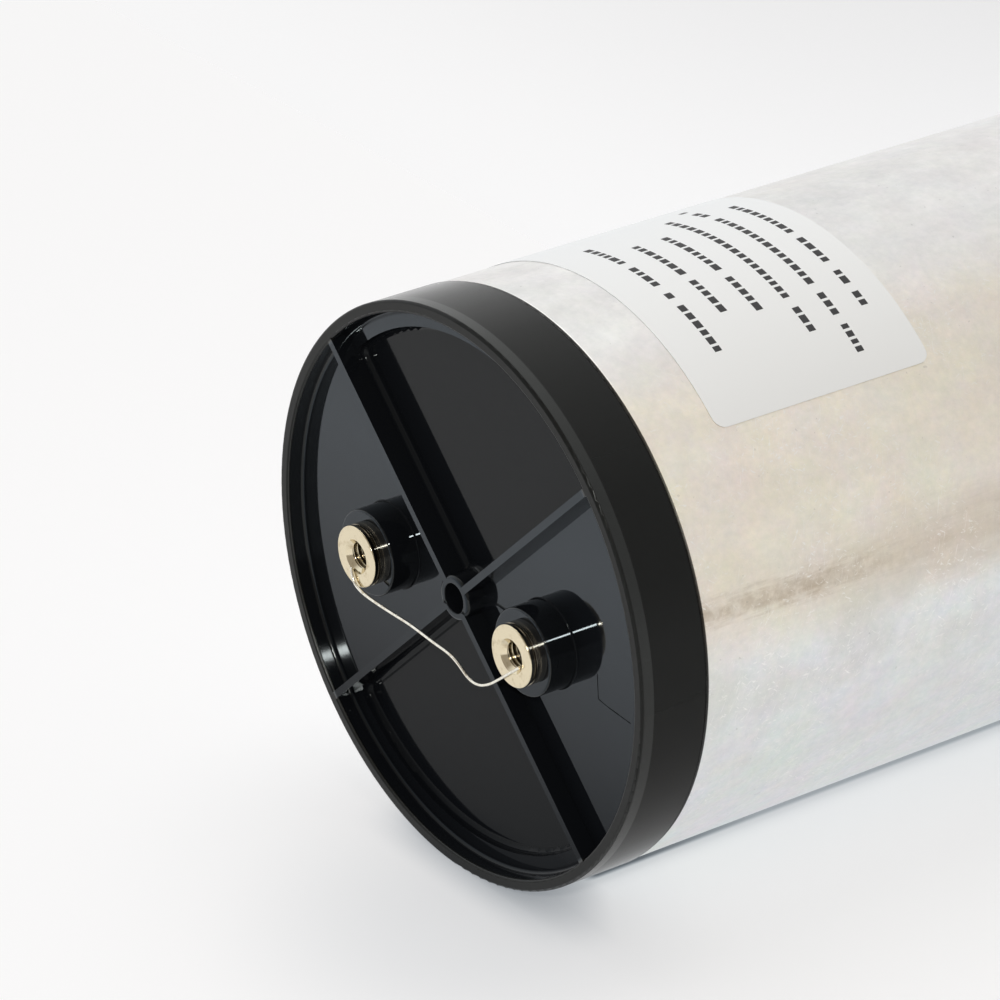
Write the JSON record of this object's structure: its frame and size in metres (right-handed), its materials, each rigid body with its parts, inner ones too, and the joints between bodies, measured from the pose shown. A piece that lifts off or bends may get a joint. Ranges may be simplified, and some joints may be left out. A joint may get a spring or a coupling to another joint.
{
  "type": "film capacitor",
  "caption": "Upright cylindrical film capacitor: drawn metal can, ribbed black moulded lid with two raised threaded terminals, and a loose wire laid across them.",
  "frame": {"origin": "centre of the can's flat underside", "axes": "+Z along the can's axis, out of the lid; +X from the left terminal to the right one; +Y across them"},
  "size_m": [0.116, 0.116, 0.196],
  "materials": {
    "can_aluminium": "deep-drawn, fine streaks along the axis, lightly scuffed",
    "lid_plastic": "black, glossy floor, satin outer band",
    "plated_brass": "turned, nickel plated, warm silver",
    "tinned_copper": "tinned, bright",
    "label_film": "pale cool grey film with plain printed bars",
    "pressboard": "tan insulating board",
    "metallised_film": "tightly wound metallised film, silvery sheen",
    "wrap_plastic": "clear yellowish wrap",
    "core_plastic": "natural plastic tube",
    "sprayed_zinc": "rough sprayed zinc",
    "sleeve_plastic": "flexible insulating sleeve",
    "cast_resin": "dark cast resin"
  },
  "bodies": {
    "root": {"can": "can_aluminium", "lid": "lid_plastic", "terminal_insert_left": "plated_brass", "terminal_insert_right": "plated_brass", "shorting_wire": "tinned_copper", "rating_label": "label_film", "can_liner": "pressboard", "bottom_insulator": "pressboard", "top_insulator": "pressboard", "middle_spacer": "pressboard", "winding_lower": "metallised_film", "winding_upper": "metallised_film", "wrap_film_lower": "wrap_plastic", "wrap_film_upper": "wrap_plastic", "core_tube_lower": "core_plastic", "core_tube_upper": "core_plastic", "end_spray_lower_bottom": "sprayed_zinc", "end_spray_lower_top": "sprayed_zinc", "end_spray_upper_bottom": "sprayed_zinc", "end_spray_upper_top": "sprayed_zinc", "series_link": "tinned_copper", "lead_strip_left": "tinned_copper", "lead_strip_right": "tinned_copper", "lead_sleeve": "sleeve_plastic", "potting_resin": "cast_resin"}
  },
  "joints": []
}
